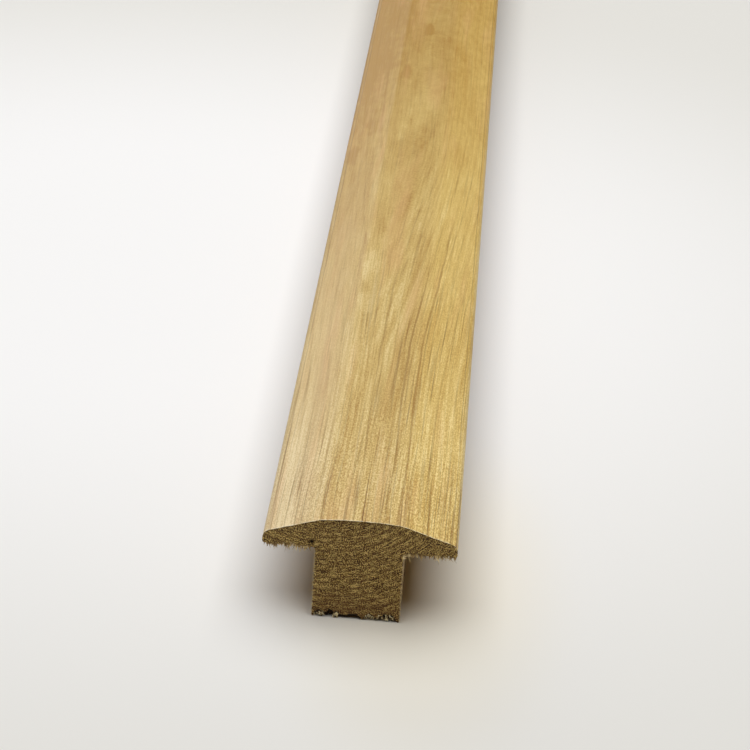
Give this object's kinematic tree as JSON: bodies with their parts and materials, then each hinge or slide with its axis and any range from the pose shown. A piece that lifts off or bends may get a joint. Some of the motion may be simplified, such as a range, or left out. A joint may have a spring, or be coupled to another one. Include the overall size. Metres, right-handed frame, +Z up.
{
  "type": "t-shaped threshold",
  "caption": "Solid oak T-section threshold bar: a domed, ramped cap with rounded edges over a square tongue, to cover the gap between two floor coverings.",
  "frame": {"origin": "centre of the underside of the tongue, halfway along the bar", "axes": "+X across the bar, +Y along its length, +Z up through the crown of the cap"},
  "size_m": [0.044, 0.9, 0.0249],
  "materials": {
    "oak": "planed and unfinished, with rough-sawn ends"
  },
  "bodies": {
    "root": {"threshold_bar": "oak"}
  },
  "joints": []
}
